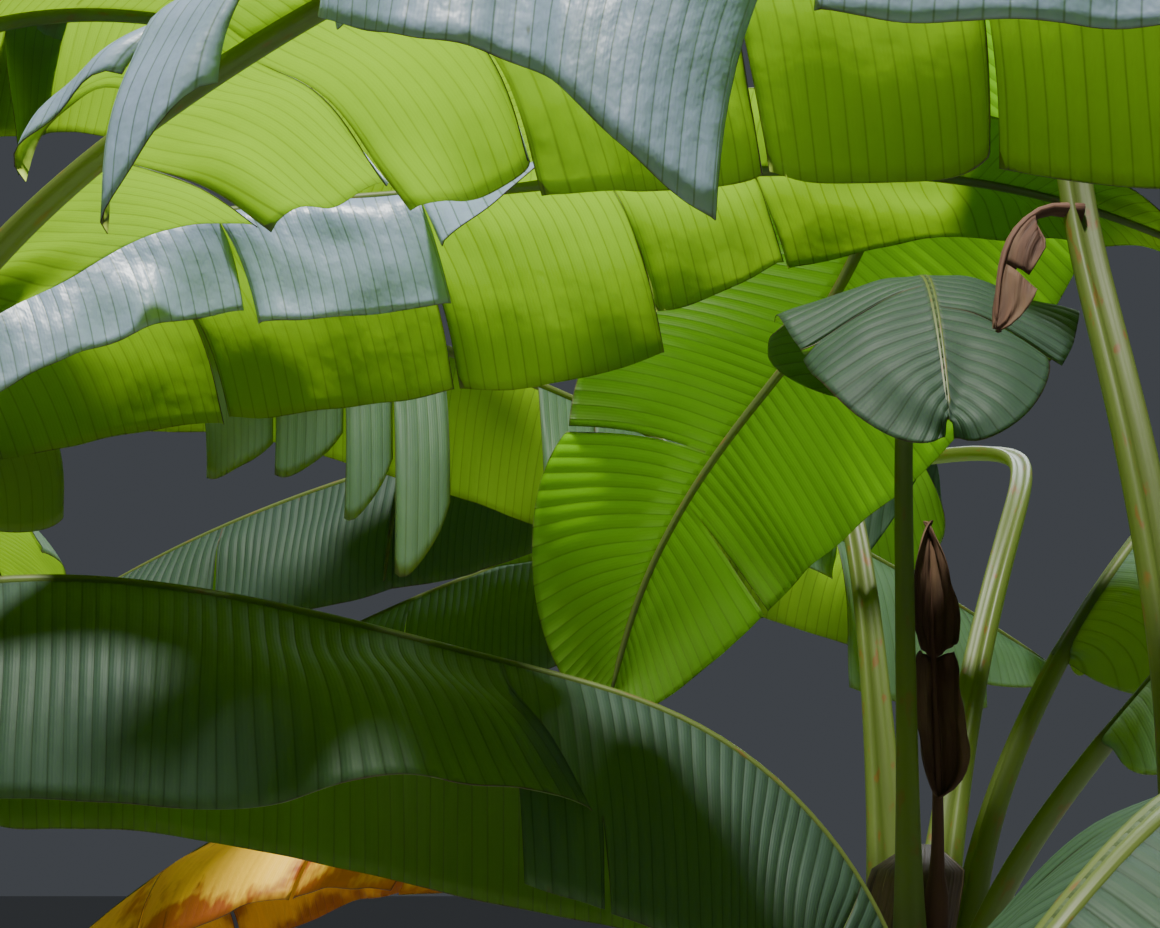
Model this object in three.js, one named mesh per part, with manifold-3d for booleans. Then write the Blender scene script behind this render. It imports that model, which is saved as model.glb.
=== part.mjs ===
// A banana clump: three leaning stems from one root, with arching torn leaves and dead leaves.
// Millimetres, degrees, +Z up. The origin is the middle of the main stem's flat cut at the ground.
import * as THREE from "three";
import { mergeVertices } from "three/addons/utils/BufferGeometryUtils.js";
import Module from "manifold-3d";

const wasm = await Module();
wasm.setup();

// Clearance kept between neighbours that touch on the living plant.
const SEAT = 0.3;

// A blade's thickness is this share of its length.
const BLADE_THICKNESS = 0.01;

// Mesh fineness: enough faces for the true outline.
const STEM_SIDES = 16;
const STEM_ROWS = 9;
const RIB_SIDES = 6;
const RIB_STEP = 190;
const COLUMN_STEP = 230;
const ROWS = [0, 0.06, 0.4, 0.72, 1];
const FINE_STEPS = 24;
const SLIVER = 0.02;

// How far the midrib's middle lies under the blade, in its own radii.
const KEEL = 0.5;

// Stems: where each stands, where its crown is, and its radius at the foot and the neck.
// The flare is what the foot gains on the last stretch above the ground.
const STEMS = {
  main: { foot: [0, 0], crown: [-250, -50, 1950], footRadius: 125, neckRadius: 72, flare: 60 },
  middle: { foot: [950, 320], crown: [1410, 520, 1620], footRadius: 110, neckRadius: 66, flare: 50 },
  right: { foot: [1200, -200], crown: [1500, -360, 1420], footRadius: 100, neckRadius: 58, flare: 50 },
};
const FLARE_HEIGHT = 120;

// Half of a blade. fold: how far it lifts off the level to the side of the midrib. hang: how far its
// veins give way to their weight. lean: how far they point to the tip. tears: where it is torn along
// its veins. strips: what each strip between two tears adds to fold, hang and lean, or its reach.
const HALF = { fold: [-22], hang: [0.5], lean: [14], tears: [0.3, 0.55, 0.8], strips: {} };

// A leaf. from: its height on the stem. climb and turn: the midrib's slope and heading, in even
// steps along its length. splits: where its blade is parted. stalk: whether its petiole is its own piece.
const LEAF = { stout: 20, splits: [0.46], stalk: false, colour: "leaf" };

// Half of a dead blade: narrow, folded under and slack.
const WITHERED = { fold: [-50], hang: [0.2], lean: [24], tears: [0.5], strips: {} };

// Lists of angles run evenly from the foot to the tip of a leaf, or across a strip.
const LEAVES = {
  main_leaf_2: {
    stem: "main", from: 1540, petiole: 360, blade: 1750, width: 310,
    splits: [0.6],
    climb: [64, 50, 14, -6, -14, -17, -48, -78, -80], turn: [42, 0, 2, 2, 0, 0, 0],
    right: {
      fold: [-35, -35, -35, -40, -40], hang: [0.75], lean: [16], tears: [0.48, 0.75],
      strips: {
        0: { fold: [0, 0, 0, 8, 22, 20], hang: [0, 0, 0, 0, -0.3, -0.3], lean: [0, 0, 0, 0, 10, 30],
          reach: [1, 1, 1, 1, 0.95, 0.8] },
      },
    },
    left: { fold: [-50], hang: [0.85], lean: [12], tears: [0.66] },
  },
  main_leaf_3: {
    stem: "main", from: 1545, petiole: 750, blade: 1750, width: 330,
    climb: [61, 54, 48, 21, 7, -6, -18, -35], turn: [-16, -9, -21, -30, -18, -12, -8],
    right: {
      fold: [40, 40, 35, 25, 0, -20, -20, -20], hang: [0.9], lean: [-20], tears: [0.18, 0.25, 0.31, 0.62, 0.82],
      strips: {
        0: { reach: [0] },
        1: { fold: [-50], reach: [0.55, 0.6], lean: [-22], hang: [-0.3] },
        2: { fold: [-90], reach: [0.95, 0.85], lean: [-12] },
        3: { fold: [-40, -50, -60, -70, -80], reach: [0.5, 0.75, 0.95, 1, 1.25, 1.45], lean: [60, 20, 5, -8, -16, -24] },
        4: { fold: [-50], reach: [0.82], lean: [-30] },
      },
    },
    left: {
      fold: [25, 14, 0, -14, -34, -45, -55], hang: [0.15, 0.28, 0.55, 0.75, 0.9, 0.95, 0.95], lean: [14, 0, 8, 14, 18],
      tears: [0.13, 0.24, 0.35, 0.5, 0.63],
    },
  },
  main_leaf_4: {
    stem: "main", from: 1630, petiole: 450, blade: 1700, width: 300,
    climb: [60, 50, 26, 0, -20, -38, -58], turn: [200, 197, 192], stout: 22,
    right: { tears: [0.24, 0.48, 0.74] },
  },
  main_leaf_5: {
    stem: "main", from: 1700, petiole: 420, blade: 1700, width: 300,
    climb: [68, 50, 26, 4, -16, -34, -55], turn: [88, 90, 92],
  },
  main_leaf_6: {
    stem: "main", from: 1760, petiole: 400, blade: 1750, width: 330,
    climb: [67, 52, 26, 6, 2, -8, -30], turn: [31, 23, 4, 0, -7, -9, -10],
    right: {
      fold: [12, 0, -30, -30, 40, 50, 50], hang: [0.1], lean: [12], tears: [0.12, 0.33, 0.47, 0.65],
      strips: {
        0: { fold: [-55], hang: [0.4] },
        1: { fold: [-68], hang: [0.6, 0.5], reach: [0.68, 0.44], lean: [8] },
        2: { fold: [-60], hang: [0.5], reach: [0.55], lean: [10] },
        3: { reach: [0.5] },
        4: { reach: [0.4] },
      },
    },
    left: {
      fold: [-15, -18, -20, -15, 0, 5], hang: [0.5, 0.55, 0.6, 0.6, 0.45, 0.4],
      tears: [0.27, 0.45, 0.6, 0.7], strips: { 0: { reach: [0.8, 0.98] }, 3: { reach: [0.75] }, 4: { reach: [0.6, 0.5] } },
    },
  },
  main_leaf_7: {
    stem: "main", from: 1780, petiole: 430, blade: 1720, width: 300,
    climb: [66, 50, 28, 6, -14, -32, -52], turn: [252, 250, 247],
    right: { tears: [0.34, 0.6, 0.84] },
  },
  main_leaf_8: {
    stem: "main", from: 1850, petiole: 450, blade: 2200, width: 300,
    climb: [40, 38, 39, -6, -16, -23, -24, -29], turn: [52, 52, 50, 17, 19, 21, 21, 22],
    right: {
      fold: [-60], hang: [0.95], lean: [12], tears: [0.1, 0.235, 0.315, 0.37, 0.405, 0.445, 0.52, 0.565, 0.625, 0.78, 0.9],
      strips: {
        1: { reach: [0.4] }, 2: { reach: [1.15] }, 3: { reach: [1.1] }, 4: { reach: [1.25] }, 5: { reach: [1.5] },
        6: { reach: [0] }, 7: { reach: [0.85] }, 8: { reach: [0.8] }, 9: { reach: [0.4] }, 10: { reach: [1.3] },
      },
    },
    left: { fold: [-20], hang: [0.6], lean: [12], tears: [0.3, 0.6] },
  },
  main_leaf_9: {
    stem: "main", from: 1840, petiole: 460, blade: 1700, width: 300,
    climb: [72, 60, 40, 16, -8, -28, -50], turn: [148, 150, 152],
  },
  main_leaf_10: {
    stem: "main", from: 1930, petiole: 550, blade: 1700, width: 300,
    climb: [76, 66, 46, 16, -4, -20, -38], turn: [44, 42, 40, 40],
    left: { fold: [-10], hang: [0.3] }, right: { fold: [10], hang: [0.1] },
  },
  right_leaf_5: {
    stem: "right", from: 1360, petiole: 1100, blade: 1500, width: 300, stalk: true, splits: [0.24],
    climb: [92, 93, 81, 74, 82, 32, -22, -50, -47, -58, -72], turn: [118, 106, 103, 92, 111, 158, 134],
    right: { fold: [-20, -30, -45, -50], hang: [0.2], lean: [16], tears: [0.55, 0.8] },
    left: {
      fold: [20, 40, 50, 50], hang: [0.2], lean: [16], tears: [0.45, 0.75], strips: { 0: { reach: [0.3, 0.3, 0.4, 0.65] } },
    },
  },
  middle_leaf_4: {
    stem: "middle", from: 1480, petiole: 700, blade: 580, width: 185, stout: 14, splits: [0.5],
    climb: [80, 80, 80, 70, 20, -40, -65], turn: [-92, -92, -95, -98],
    right: { fold: [-8], hang: [0.25], lean: [16], tears: [0.6] },
    left: { fold: [-8], hang: [0.25], lean: [16], tears: [0.7] },
  },
  middle_leaf_1: {
    stem: "middle", from: 1400, petiole: 420, blade: 1500, width: 280, stout: 18,
    climb: [68, 50, 42, 25, 5, -15, -35], turn: [-35, -40, -43, -40, -35],
    right: { fold: [-30] }, left: { fold: [-15] },
  },
  middle_leaf_3: {
    stem: "middle", from: 1460, petiole: 450, blade: 1600, width: 280,
    climb: [78, 62, 48, 30, 8, -15, -40], turn: [5, 5, 10, 15],
    right: { fold: [-35], hang: [0.9] },
  },
  right_leaf_1: {
    stem: "right", from: 1270, petiole: 300, blade: 1100, width: 240,
    climb: [86, 68, -4, -46, -60, -72], turn: [-105, -116, -166, -172],
  },
  middle_leaf_5: {
    stem: "middle", from: 1480, petiole: 1250, blade: 1400, width: 330,
    climb: [68, 67, 52, 20, 0, -10, -16, -22, -28], turn: [51, 44, 60, 112, 152, 170, 176, 178],
    right: { fold: [-20], hang: [0.5] }, left: { fold: [-45], hang: [0.85] },
  },
  middle_leaf_6: {
    stem: "middle", from: 1550, petiole: 930, blade: 1500, width: 320,
    climb: [82, 80, 60, 22, 2, -8, -16, -24, -32], turn: [98, 98, 108, 142, 168, 178, 180],
    right: { fold: [-25], hang: [0.6] }, left: { fold: [-20, -45, -50, -50], hang: [0.5, 0.85, 0.9, 0.9] },
  },
  middle_leaf_2: {
    stem: "middle", from: 1360, petiole: 400, blade: 1500, width: 280,
    climb: [60, 36, 8, -14, -30, -44, -60], turn: [150, 156, 166], colour: "yellow",
  },
  right_leaf_3: {
    stem: "right", from: 1300, petiole: 380, blade: 1400, width: 260,
    climb: [62, 46, 20, 0, -20, -40, -60], turn: [-48, -54, -58],
  },
  right_leaf_4: {
    stem: "right", from: 1340, petiole: 380, blade: 1400, width: 260,
    climb: [70, 52, 26, 4, -16, -36, -56], turn: [-4, -8, -8],
  },
  right_leaf_2: {
    stem: "right", from: 1280, petiole: 360, blade: 1300, width: 250,
    climb: [66, 46, 18, -6, -26, -44, -60], turn: [30, 30, 32],
  },
  main_dead_leaf: {
    stem: "main", from: 1380, petiole: 360, blade: 850, width: 100, stout: 15, splits: [], colour: "dead",
    climb: [15, -62, -85, -88, -88], turn: [200, 202, 200], right: WITHERED, left: WITHERED,
  },
  middle_dead_leaf: {
    stem: "middle", from: 1280, petiole: 340, blade: 750, width: 95, stout: 14, splits: [], colour: "dead",
    climb: [15, -62, -85, -88, -88], turn: [20, 18, 20], right: WITHERED, left: WITHERED,
  },
  right_dead_leaf: {
    stem: "right", from: 1160, petiole: 330, blade: 700, width: 95, stout: 13, splits: [], colour: "dead",
    climb: [15, -62, -85, -88, -88], turn: [-50, -52, -50], right: WITHERED, left: WITHERED,
  },
  middle_dead_stalk: {
    stem: "middle", from: 1560, petiole: 120, blade: 360, width: 55, stout: 9, splits: [], colour: "dead",
    climb: [76, 84, 86, 82], turn: [-78, -92, -100], right: WITHERED, left: WITHERED,
  },
  right_dead_rag: {
    host: "right_leaf_5", from: 0.345, petiole: 50, blade: 140, width: 48, stout: 8, splits: [], colour: "dead",
    climb: [10, -40, -75, -85], turn: [190, 200, 210], right: WITHERED, left: WITHERED,
  },
};

const rad = THREE.MathUtils.degToRad;
const UP = new THREE.Vector3(0, 0, 1);

// A smooth curve through evenly spaced values, read at x from 0 to 1.
function along(values, x) {
  const last = values.length - 1;
  if (last === 0) return values[0];
  const p = THREE.MathUtils.clamp(x, 0, 1) * last;
  const i = Math.min(Math.floor(p), last - 1);
  const f = p - i;
  const a = values[i];
  const b = values[i + 1];
  const slopeA = (b - values[Math.max(i - 1, 0)]) / 2;
  const slopeB = (values[Math.min(i + 2, last)] - a) / 2;
  const f2 = f * f;
  const f3 = f2 * f;
  return (2 * f3 - 3 * f2 + 1) * a + (f3 - 2 * f2 + f) * slopeA + (3 * f2 - 2 * f3) * b
    + (f3 - f2) * slopeB;
}

// The middle and the radius of a stem at height z.
function stemAxis(stem, z) {
  const f = z / stem.crown[2];
  const x = THREE.MathUtils.lerp(stem.foot[0], stem.crown[0], f);
  const y = THREE.MathUtils.lerp(stem.foot[1], stem.crown[1], f);
  return new THREE.Vector3(x, y, z);
}

function stemRadius(stem, z) {
  const rest = 1 - z / stem.crown[2];
  const taper = (stem.footRadius - stem.neckRadius) * Math.pow(Math.max(rest, 0), 1.2);
  return stem.neckRadius + taper + stem.flare * Math.exp(-z / FLARE_HEIGHT);
}

// Unit vector for a slope and a heading.
function heading(climb, turn) {
  const e = rad(climb);
  const a = rad(turn);
  return new THREE.Vector3(Math.cos(e) * Math.cos(a), Math.cos(e) * Math.sin(a), Math.sin(e));
}

// The midrib of a leaf: points walked along its slope and heading from its stem or its host's petiole.
const RIB_WALK = 120;
function midrib(leaf) {
  const length = leaf.petiole + leaf.blade;
  const points = [];
  if (leaf.host) {
    const { at, up } = ribFrame(leaf.host, leaf.from);
    points.push(at.addScaledVector(up, -KEEL * ribRadius(leaf.host, leaf.from)));
  } else {
    const stem = STEMS[leaf.stem];
    const out = heading(0, leaf.turn[0]);
    points.push(stemAxis(stem, leaf.from).addScaledVector(out, stemRadius(stem, leaf.from)));
  }
  for (let k = 0; k < RIB_WALK; k += 1) {
    const x = (k + 0.5) / RIB_WALK;
    const step = heading(along(leaf.climb, x), along(leaf.turn, x)).multiplyScalar(length / RIB_WALK);
    points.push(points[k].clone().add(step));
  }
  return { length, points };
}

// Place, direction, level side and upward normal of the midrib at x from 0 to 1.
function ribFrame(leaf, x) {
  const p = THREE.MathUtils.clamp(x, 0, 1) * RIB_WALK;
  const i = Math.min(Math.floor(p), RIB_WALK - 1);
  const at = leaf.rib.points[i].clone().lerp(leaf.rib.points[i + 1], p - i);
  const turn = rad(along(leaf.turn, x));
  const ahead = heading(along(leaf.climb, x), along(leaf.turn, x));
  const side = new THREE.Vector3(Math.sin(turn), -Math.cos(turn), 0);
  return { at, ahead, side, up: side.clone().cross(ahead) };
}

// Half the midrib's width: a broad foot, a stout petiole, then a taper to the tip.
function ribRadius(leaf, x) {
  const bladeStart = leaf.petiole / leaf.rib.length;
  const foot = 0.75 * Math.exp((-6 * x) / bladeStart);
  if (x < bladeStart) return leaf.stout * (1 + foot - (0.2 * x) / bladeStart);
  const u = (x - bladeStart) / (1 - bladeStart);
  return leaf.stout * 0.8 * (1 - 0.72 * Math.pow(u, 0.8));
}

// Share of the full half width at u from the blade's foot to its tip.
const BLADE_SHOULDER = 0.14;
const BLADE_END = 0.06;
const NARROWEST = 0.8;
function halfWidth(leaf, u) {
  const foot = 1 - THREE.MathUtils.clamp(u / BLADE_SHOULDER, 0, 1);
  const share = Math.sqrt(1 - foot * foot) * Math.pow(1 - Math.pow(u, 4), 0.65);
  return Math.max(share, BLADE_END, (NARROWEST * leaf.stout) / leaf.width);
}

// Points down one vein, from the midrib to the margin, each with the way up out of the blade there: the
// midrib's own near it, and further out one that starts square to rib and vein and turns as the vein bends.
const RIB_SHARE = 45;
const TIP_LEAN = 50;
const TORN_FREE = 0.35;
function vein(leaf, half, sign, strip, u) {
  const frame = ribFrame(leaf, (leaf.petiole + u * leaf.blade) / leaf.rib.length);
  const across = (u - strip.from) / (strip.to - strip.from);
  const length = leaf.width * halfWidth(leaf, u) * along(strip.reach, across);
  const lean = along(half.lean, u) + TIP_LEAN * THREE.MathUtils.smoothstep(u, 0.75, 1);
  const fold = along(half.fold, u);
  const hang = along(half.hang, u);
  const points = [frame.at];
  const normals = [];
  for (let k = 0; k < FINE_STEPS; k += 1) {
    const t = (k + 0.5) / FINE_STEPS;
    const free = THREE.MathUtils.smoothstep(t, strip.torn, strip.torn + TORN_FREE);
    const l = rad(lean + free * along(strip.lean, across));
    const f = rad(fold + free * along(strip.fold, across));
    const fall = (hang + free * along(strip.hang, across)) * THREE.MathUtils.smoothstep(t, 0, 1);
    const give = THREE.MathUtils.clamp(fall, 0, 0.97);
    const way = new THREE.Vector3()
      .addScaledVector(frame.side, sign * Math.cos(f) * Math.cos(l))
      .addScaledVector(frame.up, Math.sin(f) * Math.cos(l))
      .addScaledVector(frame.ahead, Math.sin(l))
      .multiplyScalar(1 - give)
      .addScaledVector(UP, -give)
      .normalize();
    points.push(points[k].clone().addScaledVector(way, length / FINE_STEPS));
    const normal = k > 0 ? normals[k - 1].clone() : way.clone().cross(frame.ahead).multiplyScalar(sign);
    normals.push(normal.addScaledVector(way, -normal.dot(way)).normalize());
  }
  normals.push(normals[FINE_STEPS - 1]);
  const lifts = normals.map((normal, k) => frame.up.clone()
    .lerp(normal, THREE.MathUtils.smoothstep((k / FINE_STEPS) * length, 0, RIB_SHARE)));
  return { points, lifts };
}

// The value at t down a vein, from the list of its points or its lifts.
function onVein(values, t) {
  const p = THREE.MathUtils.clamp(t, 0, 1) * FINE_STEPS;
  const i = Math.min(Math.floor(p), FINE_STEPS - 1);
  return values[i].clone().lerp(values[i + 1], p - i);
}

// A closed mesh's geometry as a solid.
function solidOf(geometry) {
  const bare = geometry.clone();
  for (const name of Object.keys(bare.attributes)) if (name !== "position") bare.deleteAttribute(name);
  const merged = mergeVertices(bare, 1e-3);
  const mesh = new wasm.Mesh({
    numProp: 3,
    vertProperties: new Float32Array(merged.attributes.position.array),
    triVerts: new Uint32Array(merged.index.array),
  });
  return new wasm.Manifold(mesh);
}

// Moves each vertex of a geometry to where place() puts it.
function shaped(geometry, place) {
  const position = geometry.attributes.position;
  const v = new THREE.Vector3();
  for (let i = 0; i < position.count; i += 1) {
    v.fromBufferAttribute(position, i);
    const to = place(v.x, v.y, v.z);
    position.setXYZ(i, to.x, to.y, to.z);
  }
  return solidOf(geometry);
}

// The upper and the under face of a blade, at u along it and t down the vein.
function faces(leaf, half, sign, strip, u, t) {
  const { points, lifts } = vein(leaf, half, sign, strip, u);
  const at = onVein(points, t);
  const lift = onVein(lifts, t).normalize().multiplyScalar(leaf.blade * BLADE_THICKNESS * 0.5);
  return { top: at.clone().add(lift), under: at.clone().sub(lift) };
}

// The same at the midrib, where the under face is the keel, a little less deep than the petiole.
const KEEL_DEPTH = 1.44;
function spine(leaf, u) {
  const station = (leaf.petiole + u * leaf.blade) / leaf.rib.length;
  const { at, up } = ribFrame(leaf, station);
  const top = at.clone().addScaledVector(up, leaf.blade * BLADE_THICKNESS * 0.5);
  return { top, under: at.clone().addScaledVector(up, -KEEL_DEPTH * ribRadius(leaf, station)) };
}

// The strips between a half's tears.
const WHOLE = { fold: [0], hang: [0], lean: [0], reach: [1], torn: 0.05, from: 0, to: 1 };
function stripsOf(half) {
  const cuts = [0, ...half.tears, 1];
  return cuts.slice(0, -1).map((from, i) => ({ ...WHOLE, ...half.strips[i], from, to: cuts[i + 1] }));
}

// Where a stretch of blade has columns of corners: at its ends, at every tear and evenly between.
function columnsOf(leaf, from, to) {
  const tears = [...leaf.right.tears, ...leaf.left.tears].filter((u) => u > from && u < to);
  const fixed = [...new Set([from, to, ...tears])].sort((a, b) => a - b);
  const columns = [from];
  for (let i = 1; i < fixed.length; i += 1) {
    const parts = Math.max(1, Math.round(((fixed[i] - fixed[i - 1]) * leaf.blade) / COLUMN_STEP));
    for (let k = 1; k < parts; k += 1) columns.push(THREE.MathUtils.lerp(fixed[i - 1], fixed[i], k / parts));
    columns.push(fixed[i]);
  }
  return columns;
}

// A stretch of blade as one closed sheet: a band on each side of the midrib, then strips parted by tears.
const SIDES = [["right", 1], ["left", -1]];
const TEAR = 5;
function bladeSolid(leaf, from, to) {
  const columns = columnsOf(leaf, from, to);
  const inset = TEAR / 2 / leaf.blade;
  const corners = [];
  for (const [name, sign] of SIDES) {
    const half = leaf[name];
    const quad = (a, b, c, d) => corners.push(...(sign > 0 ? [a, b, c, a, c, d] : [a, c, b, a, d, c]));
    for (const strip of stripsOf(half)) {
      const last = Math.max(...strip.reach) > 0 ? ROWS.length - 1 : 1;
      const own = columns.filter((u) => u >= strip.from && u <= strip.to);
      if (own.length < 2) continue;
      const grid = own.map((u) => ROWS.slice(0, last + 1).map((t, row) => {
        if (row === 0) return spine(leaf, u);
        if (row === 1) return faces(leaf, half, sign, WHOLE, u, t);
        return faces(leaf, half, sign, strip, THREE.MathUtils.clamp(u, strip.from + inset, strip.to - inset), t);
      }));
      const end = own.length - 1;
      for (let i = 0; i < end; i += 1) {
        const [a, b] = [grid[i], grid[i + 1]];
        for (let row = 0; row < last; row += 1) {
          quad(a[row].top, a[row + 1].top, b[row + 1].top, b[row].top);
          quad(a[row].under, b[row].under, b[row + 1].under, a[row + 1].under);
        }
        quad(a[last].top, a[last].under, b[last].under, b[last].top);
      }
      for (let row = 0; row < last; row += 1) {
        const [a, b] = [grid[0][row], grid[0][row + 1]];
        const [c, d] = [grid[end][row], grid[end][row + 1]];
        if (row > 0 || own[0] === from) quad(a.top, a.under, b.under, b.top);
        if (row > 0 || own[end] === to) quad(c.top, d.top, d.under, c.under);
      }
    }
  }
  return solidOf(new THREE.BufferGeometry().setFromPoints(corners));
}

// The midrib between two of its stations: a tube that lies mostly under the blade.
function ribSolid(leaf, from, to, grow = 0) {
  const rows = Math.max(1, Math.round(((to - from) * leaf.rib.length) / RIB_STEP));
  return shaped(new THREE.CylinderGeometry(1, 1, 1, RIB_SIDES, rows), (x, y, z) => {
    const station = THREE.MathUtils.lerp(from, to, y + 0.5);
    const frame = ribFrame(leaf, station);
    const radius = ribRadius(leaf, station);
    return frame.at
      .addScaledVector(frame.side, x * (radius + grow))
      .addScaledVector(frame.up, z * (radius + grow) - KEEL * radius);
  });
}

// A stem: rings on its leaning axis, closed by flat cuts at the ground and the crown.
function stemSolid(stem, grow = 0) {
  const height = stem.crown[2];
  return shaped(new THREE.CylinderGeometry(1, 1, 1, STEM_SIDES, STEM_ROWS), (x, y, z) => {
    const level = height * Math.pow(y + 0.5, 1.35);
    const radius = stemRadius(stem, level) + grow;
    return stemAxis(stem, level).add(new THREE.Vector3(x * radius, -z * radius, 0));
  });
}


// The largest of a solid's separate bodies.
function largest(solid) {
  return solid.decompose().reduce((a, b) => (b.volume() > a.volume() ? b : a));
}

// A leaf parted along its veins where it bends, a seat's gap between the parts.
const FOOT_LAP = 25;
function leafParts(leaf) {
  const bladeStart = leaf.petiole / leaf.rib.length;
  const gap = (1.5 * SEAT) / leaf.blade;
  const cuts = [0, ...leaf.splits, 1];
  const parts = cuts.slice(1).map((to, i) => {
    const from = cuts[i] + (i > 0 ? gap / 2 : 0);
    return bladeSolid(leaf, from, to - (to < 1 ? gap / 2 : 0));
  });
  if (leaf.stalk) {
    parts[0] = largest(parts[0].subtract(ribSolid(leaf, 0, bladeStart, SEAT)));
    return [ribSolid(leaf, 0, bladeStart - SEAT / leaf.rib.length), ...parts];
  }
  parts[0] = parts[0].add(ribSolid(leaf, 0, bladeStart + FOOT_LAP / leaf.rib.length));
  return parts;
}

// What each kind of piece looks like.
const MATERIALS = {
  stem: new THREE.MeshStandardMaterial({ color: "#5b4a3a", roughness: 0.8, metalness: 0 }),
  leaf: new THREE.MeshStandardMaterial({ color: "#4f7d2c", roughness: 0.45, metalness: 0 }),
  yellow: new THREE.MeshStandardMaterial({ color: "#c9a21f", roughness: 0.6, metalness: 0 }),
  dead: new THREE.MeshStandardMaterial({ color: "#6b4632", roughness: 0.9, metalness: 0 }),
};

function named(name, solid, kind) {
  const mesh = solid.getMesh();
  const geometry = new THREE.BufferGeometry();
  geometry.setAttribute("position", new THREE.BufferAttribute(mesh.vertProperties, 3));
  geometry.setIndex(new THREE.BufferAttribute(mesh.triVerts, 1));
  geometry.computeVertexNormals();
  const made = new THREE.Mesh(geometry, MATERIALS[kind]);
  made.name = name;
  return made;
}

const clump = new THREE.Group();
for (const [name, stem] of Object.entries(STEMS)) {
  clump.add(named(`${name}_stem`, stemSolid(stem), "stem"));
}
const leaves = {};
for (const [name, given] of Object.entries(LEAVES)) {
  const leaf = { ...LEAF, ...given, right: { ...HALF, ...given.right }, left: { ...HALF, ...given.left } };
  if (given.host) leaf.host = leaves[given.host];
  leaf.rib = midrib(leaf);
  leaves[name] = leaf;
  const parts = leafParts(leaf);
  const bearer = leaf.host
    ? ribSolid(leaf.host, 0, leaf.host.petiole / leaf.host.rib.length, SEAT)
    : stemSolid(STEMS[leaf.stem], SEAT);
  parts[0] = largest(parts[0].subtract(bearer));
  parts.forEach((solid, i) => {
    const part = parts.length > 1 ? `${name}_part_${i + 1}` : name;
    clump.add(named(part, solid.simplify(SLIVER), leaf.colour));
  });
}

export default clump;
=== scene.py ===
"""Looks for a clump of a banana plant: torn arching leaves, their midribs, and sheathed false stems."""

import math

import bmesh
import bpy
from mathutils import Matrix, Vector, noise


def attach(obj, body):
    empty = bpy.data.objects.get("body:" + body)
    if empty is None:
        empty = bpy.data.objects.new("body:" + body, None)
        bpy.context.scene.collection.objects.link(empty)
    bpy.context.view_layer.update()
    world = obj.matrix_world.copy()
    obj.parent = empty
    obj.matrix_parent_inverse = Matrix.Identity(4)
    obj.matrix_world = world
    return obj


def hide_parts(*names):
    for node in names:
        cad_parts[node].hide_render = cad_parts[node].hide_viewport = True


bl_info = {
    "name": "Banana plant",
    "version": (1, 0, 0),
    "blender": (4, 5, 0),
    "location": "View3D > Sidebar > Banana",
    "description": "Builds the blades, midribs and stems of a banana clump over its packed solids",
    "category": "Object",
}

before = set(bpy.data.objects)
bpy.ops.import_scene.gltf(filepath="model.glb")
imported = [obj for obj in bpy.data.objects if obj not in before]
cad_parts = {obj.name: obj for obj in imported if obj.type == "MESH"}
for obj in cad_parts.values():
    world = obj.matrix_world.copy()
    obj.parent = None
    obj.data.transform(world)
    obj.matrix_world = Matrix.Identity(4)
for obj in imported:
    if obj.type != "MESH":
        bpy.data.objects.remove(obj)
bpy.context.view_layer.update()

MM = 0.001
UP = Vector((0, 0, 1))
SIDES = (("right", 1), ("left", -1))

# The stems and leaves of the part's source, in millimetres and degrees.
STEMS = {
    "main": {
        "foot": (0, 0), "crown": (-250, -50, 1950),
        "foot_radius": 125, "neck_radius": 72, "flare": 60,
    },
    "middle": {
        "foot": (950, 320), "crown": (1410, 520, 1620),
        "foot_radius": 110, "neck_radius": 66, "flare": 50,
    },
    "right": {
        "foot": (1200, -200), "crown": (1500, -360, 1420),
        "foot_radius": 100, "neck_radius": 58, "flare": 50,
    },
}
FLARE_HEIGHT = 120
KEEL = 0.5
FINE_STEPS = 24
RIB_WALK = 120
TIP_LEAN = 50
TORN_FREE = 0.35
BLADE_SHOULDER = 0.14
BLADE_END = 0.06
NARROWEST = 0.8
TEAR = 5

HALF = {"fold": [-22], "hang": [0.5], "lean": [14], "tears": [0.3, 0.55, 0.8], "strips": {}}
WITHERED = {"fold": [-50], "hang": [0.2], "lean": [24], "tears": [0.5], "strips": {}}
STRIP = {"fold": [0], "hang": [0], "lean": [0], "reach": [1], "torn": 0.05}
LEAF = {"stout": 20, "tint": "green", "right": {}, "left": {}}

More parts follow.
